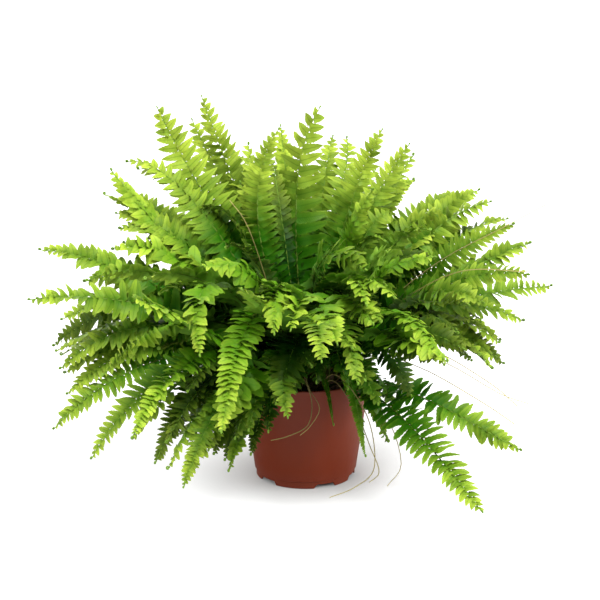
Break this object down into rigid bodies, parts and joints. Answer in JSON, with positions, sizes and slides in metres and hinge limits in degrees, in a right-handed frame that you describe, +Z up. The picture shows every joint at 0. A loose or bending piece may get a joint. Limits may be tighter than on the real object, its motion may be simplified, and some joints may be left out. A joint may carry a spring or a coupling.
{
  "type": "potted fern",
  "caption": "Boston fern with arching toothed fronds and thin hanging runners, growing from a crown in a tapered moulded nursery pot with a notched foot.",
  "frame": {"origin": "on the pot's axis at the middle of the object's footprint, on the surface that the foot ring stands on", "axes": "+Z up along the pot's axis; +X to the right and +Y to the back, seen from the fern's front"},
  "size_m": [0.5516, 0.5236, 0.393],
  "materials": {
    "pot_plastic": "satin red-brown polypropylene, moulded, with slight scuffs",
    "compost": "dark crumbly peat compost, matt",
    "rhizome": "brown papery scales on short rhizomes, matt",
    "leaf_mature": "mid-green leaf, soft sheen, slightly translucent",
    "leaf_young": "young yellow-green leaf, soft sheen, translucent",
    "leaf_deep": "older deep green leaf, soft sheen",
    "runner": "wiry green-brown runner, matt"
  },
  "bodies": {
    "root": {"pot": "pot_plastic", "soil": "compost", "crown": "rhizome", "frond_01": "leaf_mature", "frond_02": "leaf_mature", "frond_03": "leaf_mature", "frond_04": "leaf_deep", "frond_05": "leaf_mature", "frond_06": "leaf_mature", "frond_07": "leaf_mature", "frond_08": "leaf_mature", "frond_09": "leaf_mature", "frond_10": "leaf_mature", "frond_11": "leaf_young", "frond_12": "leaf_young", "frond_13": "leaf_mature", "frond_14": "leaf_mature", "frond_15": "leaf_young", "frond_16": "leaf_mature", "frond_17": "leaf_mature", "frond_18": "leaf_young", "frond_19": "leaf_young", "frond_20": "leaf_mature", "frond_21": "leaf_mature", "frond_22": "leaf_mature", "frond_23": "leaf_mature", "frond_24": "leaf_mature", "frond_25": "leaf_young", "frond_26": "leaf_deep", "frond_27": "leaf_mature", "frond_28": "leaf_young", "frond_29": "leaf_young", "frond_30": "leaf_deep", "frond_31": "leaf_young", "frond_32": "leaf_deep", "frond_33": "leaf_mature", "frond_34": "leaf_young", "frond_35": "leaf_young", "frond_36": "leaf_mature", "frond_37": "leaf_young", "frond_38": "leaf_mature", "frond_39": "leaf_mature", "frond_40": "leaf_mature", "frond_41": "leaf_young", "frond_42": "leaf_deep", "frond_43": "leaf_mature", "frond_44": "leaf_deep", "frond_45": "leaf_young", "frond_46": "leaf_mature", "frond_47": "leaf_mature", "frond_48": "leaf_mature", "frond_49": "leaf_mature", "frond_50": "leaf_mature", "stolon_1": "runner", "stolon_2": "runner", "stolon_3": "runner", "stolon_4": "runner", "stolon_5": "runner", "stolon_6": "runner", "stolon_7": "runner"}
  },
  "joints": []
}
